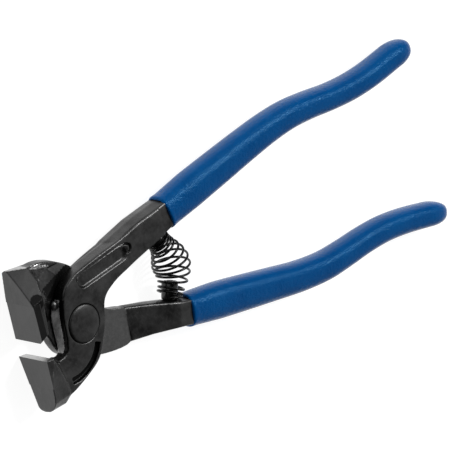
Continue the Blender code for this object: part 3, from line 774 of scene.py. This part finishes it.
def noise(tree, place, size, detail=3.0, roughness=0.55, stretch=None):
    """Noise whose blobs are about the given size in millimetres."""
    if stretch is not None:
        place = node(tree, "ShaderNodeMapping", {"Vector": place, "Scale": stretch}).outputs["Vector"]
    made = node(tree, "ShaderNodeTexNoise", {
        "Vector": place, "Scale": 0.5 / (size * MM), "Detail": detail, "Roughness": roughness})
    return made.outputs["Fac"]


def spread(tree, value, low, high, first, last):
    """The value mapped from low..high to first..last."""
    made = node(tree, "ShaderNodeMapRange", {
        "Value": value, "From Min": low, "From Max": high, "To Min": first, "To Max": last})
    return made.outputs["Result"]


def blended(tree, share, first, last):
    """A colour between two others, each a colour or an output."""
    made = tree.nodes.new("ShaderNodeMix")
    made.data_type = "RGBA"
    tree.links.new(share, made.inputs[0])
    for socket, value in ((made.inputs[6], first), (made.inputs[7], last)):
        if isinstance(value, bpy.types.NodeSocket):
            tree.links.new(value, socket)
        else:
            socket.default_value = (*value, 1.0)
    return made.outputs[2]


def bumped(tree, height, distance, normal=None):
    made = node(tree, "ShaderNodeBump", {"Height": height, "Distance": distance * MM, "Strength": 1.0})
    if normal is not None:
        tree.links.new(normal, made.inputs["Normal"])
    return made.outputs["Normal"]


def started(name):
    material = bpy.data.materials.new(name)
    material.use_nodes = True
    tree = material.node_tree
    place = tree.nodes.new("ShaderNodeTexCoord").outputs["Object"]
    return material, tree, tree.nodes["Principled BSDF"], place


def grey(value):
    return (value, value, value)


def steel(name, tone, roughness, metallic=0.9, worn=1.6, wave=0.05, grain=0.02, grain_size=0.35,
          blotch=0.25, brushed=None, specular=0.5):
    """Blackened or ground metal: blotches in the tone and gloss, grain, hammered waves and worn edges.

    tone is the base grey, worn and blotch scale it at the edges and in the blotches, wave and grain are
    heights in millimetres, and brushed stretches the grain along one axis.
    """
    material, tree, shader, place = started(name)
    large = noise(tree, place, 3.5, 3.0)
    small = noise(tree, place, 0.7, 4.0, 0.65, brushed)
    blotches = spread(tree, large, 0.3, 0.7, 0.0, 1.0)
    mottled = blended(tree, blotches, grey(tone * (1.0 - blotch)), grey(tone * (1.0 + blotch)))
    flecked = blended(tree, spread(tree, small, 0.45, 0.8, 0.0, 0.55), mottled, grey(tone * 1.7))
    edge = spread(tree, tree.nodes.new("ShaderNodeNewGeometry").outputs["Pointiness"], 0.515, 0.6, 0.0, 1.0)
    shader.inputs["Metallic"].default_value = metallic
    shader.inputs["Specular IOR Level"].default_value = specular
    tree.links.new(blended(tree, edge, flecked, grey(tone * worn)), shader.inputs["Base Color"])
    tree.links.new(
        spread(tree, small, 0.25, 0.75, roughness - 0.07, roughness + 0.08), shader.inputs["Roughness"])
    skin = bumped(tree, large, wave)
    fine = noise(tree, place, grain_size, 3.0, 0.6, brushed)
    tree.links.new(bumped(tree, fine, grain, skin), shader.inputs["Normal"])
    return material


def vinyl_skin(name):
    """Dipped vinyl: deep blue, pebbled by a fine orange-peel skin, slightly cloudy in tone and gloss."""
    material, tree, shader, place = started(name)
    cloud = noise(tree, place, 6.0, 3.0)
    pebble = noise(tree, place, 0.55, 2.0, 0.5)
    speck = noise(tree, place, 0.22, 2.0, 0.6)
    clouds = spread(tree, cloud, 0.3, 0.7, 0.0, 1.0)
    deep = blended(tree, clouds, (0.0003, 0.064, 0.235), (0.0006, 0.08, 0.275))
    shader.inputs["IOR"].default_value = 1.5
    shader.inputs["Specular IOR Level"].default_value = 0.2
    shader.inputs["Specular Tint"].default_value = (0.18, 0.6, 1.0, 1.0)
    tree.links.new(
        blended(tree, spread(tree, pebble, 0.55, 0.85, 0.0, 0.4), deep, (0.0012, 0.105, 0.34)),
        shader.inputs["Base Color"])
    tree.links.new(spread(tree, speck, 0.3, 0.7, 0.12, 0.26), shader.inputs["Roughness"])
    skin = bumped(tree, cloud, 0.12)
    tree.links.new(
        bumped(tree, speck, 0.1, bumped(tree, pebble, 0.19, skin)), shader.inputs["Normal"])
    return material


forged = steel(
    "black_steel", 0.045, 0.33, wave=0.16, grain=0.07, grain_size=0.5, worn=2.6, blotch=0.55)
milled = steel("milled_steel", 0.1, 0.33, wave=0.015, grain=0.012, blotch=0.12, worn=1.3)
flat_ground = dict(wave=0.01, grain=0.012, blotch=0.08, worn=1.2, brushed=(1.0, 0.25, 1.0))
ground = steel("ground_steel", 0.073, 0.36, **flat_ground)
# A darker copy of the ground skin that paints shade on the upper jaw's slanted facet
shaded_ground = steel("shaded_ground_steel", 0.045, 0.36, **flat_ground)
sintered = steel(
    "sintered_carbide", 0.005, 0.42, metallic=0.0, wave=0.01, grain=0.012, blotch=0.3, worn=2.0,
    specular=0.12)
# Bright ground carbide for the tips' lands and the upper jaw's top, also used as a painted highlight along
# the rear shoulder's top edge
land = steel(
    "ground_carbide_and_painted_highlight", 0.42, 0.3, metallic=1.0, wave=0.004, grain=0.006, blotch=0.3, worn=1.1)
# Near-black skin that paints shade in the grooves, the nick and on the shoulder beside the lap, and a dark
# reflection on the flange's wall
shade_skin = steel(
    "painted_shade_steel", 0.003, 0.3, metallic=0.0, wave=0.1, grain=0.05, blotch=0.3, worn=3.0, specular=0.08)
# A pale, mostly matt skin that paints the reflection of the bright surroundings on the flange's foot
pale_reflection = steel(
    "pale_reflection_steel", 0.55, 0.5, metallic=0.1, wave=0.12, grain=0.12, grain_size=0.5, blotch=0.6, worn=1.4)
rivet_steel = steel("rivet_steel", 0.042, 0.4, wave=0.3, grain=0.04, grain_size=0.6, blotch=0.6)
peg_steel = steel(
    "peg_steel", 0.005, 0.18, metallic=0.0, wave=0.05, grain=0.02, blotch=0.3, worn=3.0)
spring_steel = steel("spring_steel", 0.02, 0.28, wave=0.0, grain=0.004, blotch=0.2, worn=1.2)
vinyl = vinyl_skin("blue_vinyl")

# ---------------------------------------------------------------- pieces

# In the order of the lever's skin numbers: forged, ground, milled, bright, painted shade, painted pale
# reflection, darker ground that paints shade
lever_skins = (forged, ground, milled, land, shade_skin, pale_reflection, shaded_ground)
piece("front_lever_forging", front_lever_mesh(), lever_skins, "front_lever", "front_lever",
      front_faces)
piece("rear_lever_forging", rear_lever_mesh(), lever_skins, "rear_lever", "rear_lever",
      rear_faces)
piece("lower_carbide_tip", tip_mesh(LOWER_JAW, LOWER_EDGE_Y - LOWER_TIP_LENGTH, 0.0, -9.0),
      (forged, ground, land, forged), "front_lever", "lower_jaw_tip",
      tip_faces(1, JAW_FACE_X - 1.0))
piece("upper_carbide_tip", tip_mesh(UPPER_JAW, 0.0, UPPER_EDGE_Y + UPPER_TIP_LENGTH, -7.3),
      (sintered, ground, land, forged), "rear_lever", "upper_jaw_tip",
      tip_faces(-1, TIP_SEAM_X))

HEAD_Z = FACE_Z - RECESS_DEPTH + 0.02        # underside of the rivet's head
rivet = turned([
    (0.4, FACE_Z + 0.42), (3.0, FACE_Z + 0.4), (5.2, FACE_Z + 0.35), (6.4, FACE_Z + 0.24),
    (6.95, FACE_Z + 0.05), (7.15, FACE_Z - 0.2), (7.2, FACE_Z - 0.5), (7.2, HEAD_Z), (3.5, HEAD_Z),
    (3.5, -HEAD_Z - 0.2), (5.6, -HEAD_Z - 0.2), (5.6, -FACE_Z - 0.1), (5.4, -FACE_Z - 0.5),
    (4.9, -FACE_Z - 0.72), (3.0, -FACE_Z - 0.78), (0.4, -FACE_Z - 0.8)])
rivet.transform(Matrix.Translation(RIVET_PLACE))
piece("rivet_turned", rivet, rivet_steel, "front_lever", "pivot_rivet", sharp=80.0)

piece("upper_grip_dipped", grip_mesh(UPPER_HANDLE, UPPER_GRIP_TIP), vinyl, "front_lever", "upper_grip",
      sharp=80.0)
piece("lower_grip_dipped", grip_mesh(LOWER_HANDLE, LOWER_GRIP_TIP), vinyl, "rear_lever", "lower_grip",
      sharp=80.0)
piece("upper_peg_turned", peg_mesh(UPPER_SEAT, 3.6), peg_steel, "front_lever", "upper_spring_peg",
      sharp=50.0)
piece("lower_peg_turned", peg_mesh(LOWER_SEAT, 7.0), peg_steel, "rear_lever", "lower_spring_peg",
      sharp=50.0)

spring = wire_piece("spring_wire", spring_route(), WIRE_RADIUS, spring_steel)
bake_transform(spring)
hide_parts("return_spring")

# ---------------------------------------------------------------- stage, light and camera

def floor_material():
    """A pale sheet that glows a little, as under a lit sweep, so that shadows on it stay faint."""
    material, tree, shader, place = started("pale_floor")
    cloud = noise(tree, place, 40.0, 2.0)
    tree.links.new(
        blended(tree, cloud, (0.2, 0.2, 0.2), (0.22, 0.22, 0.22)), shader.inputs["Base Color"])
    shader.inputs["Roughness"].default_value = 0.7
    shader.inputs["Emission Color"].default_value = (1.0, 1.0, 1.0, 1.0)
    shader.inputs["Emission Strength"].default_value = 0.93
    return material


work = bmesh.new()
bmesh.ops.create_circle(work, cap_ends=True, segments=96, radius=14.0)
floor = new_object("floor", mesh_from(work, "floor"))
floor.data.materials.append(floor_material())
floor.location.z = -0.0002

# Dim surroundings with a broad bright side and two bright patches, pale where the camera sees them
world = bpy.data.worlds.new("studio")
bpy.context.scene.world = world
world.use_nodes = True
tree = world.node_tree


def towards(direction):
    return node(tree, "ShaderNodeVectorMath", {
        0: tree.nodes.new("ShaderNodeTexCoord").outputs["Generated"], 1: direction},
        operation="DOT_PRODUCT").outputs["Value"]


slope = spread(tree, towards((0.75, -0.45, 0.48)), 0.55, 1.0, 0.02, 0.62)
high_patch = spread(tree, towards((0.261, 0.777, 0.572)), 0.925, 0.975, 0.0, 1.7)
side_patch = spread(tree, towards((-0.661, 0.631, 0.407)), 0.86, 0.96, 0.0, 0.75)
patches = node(tree, "ShaderNodeMath", {0: high_patch, 1: side_patch}).outputs[0]
glow = node(tree, "ShaderNodeMath", {0: slope, 1: patches}).outputs[0]
seen = tree.nodes.new("ShaderNodeLightPath").outputs["Is Camera Ray"]
tree.links.new(
    blended(tree, seen, glow, (0.97, 0.97, 0.97)), tree.nodes["Background"].inputs["Color"])

bpy.context.scene.view_settings.view_transform = "Standard"


def softbox(name, direction, distance, size, radiance):
    """A square light in a direction from the tool, that shines with the given radiance."""
    light = bpy.data.lights.new(name, "AREA")
    light.shape = "SQUARE"
    light.size = size
    light.energy = radiance * pi * size * size
    obj = new_object(name, light)
    way = Vector(direction).normalized()
    obj.location = way * distance
    obj.rotation_euler = way.to_track_quat("Z", "Y").to_euler()
    obj.visible_camera = False


softbox("key", (0.5, 0.33, 0.8), 2.0, 0.5, 29.0)

# The camera looks down from the jaws' side, from far away and so with little perspective
CAMERA_DISTANCE = 7.5
VIEW_WIDTH = 0.1656
RIGHT = Vector((0.7222, -0.2186, 0.6563)).normalized()
BACK = Vector((-0.5697, 0.3504, 0.7435))
BACK = (BACK - RIGHT * BACK.dot(RIGHT)).normalized()
UP = BACK.cross(RIGHT)
target = PIVOT + Vector((77.6, 5.37, -0.11)) * MM
camera_data = bpy.data.cameras.new("camera")
camera_data.lens = camera_data.sensor_width * CAMERA_DISTANCE / VIEW_WIDTH
camera_data.clip_start = 0.1
camera_data.clip_end = 60.0
camera = new_object("camera", camera_data)
camera.matrix_world = Matrix.Translation(target + BACK * CAMERA_DISTANCE) @ Matrix(
    (RIGHT, UP, BACK)).transposed().to_4x4()
bpy.context.scene.camera = camera
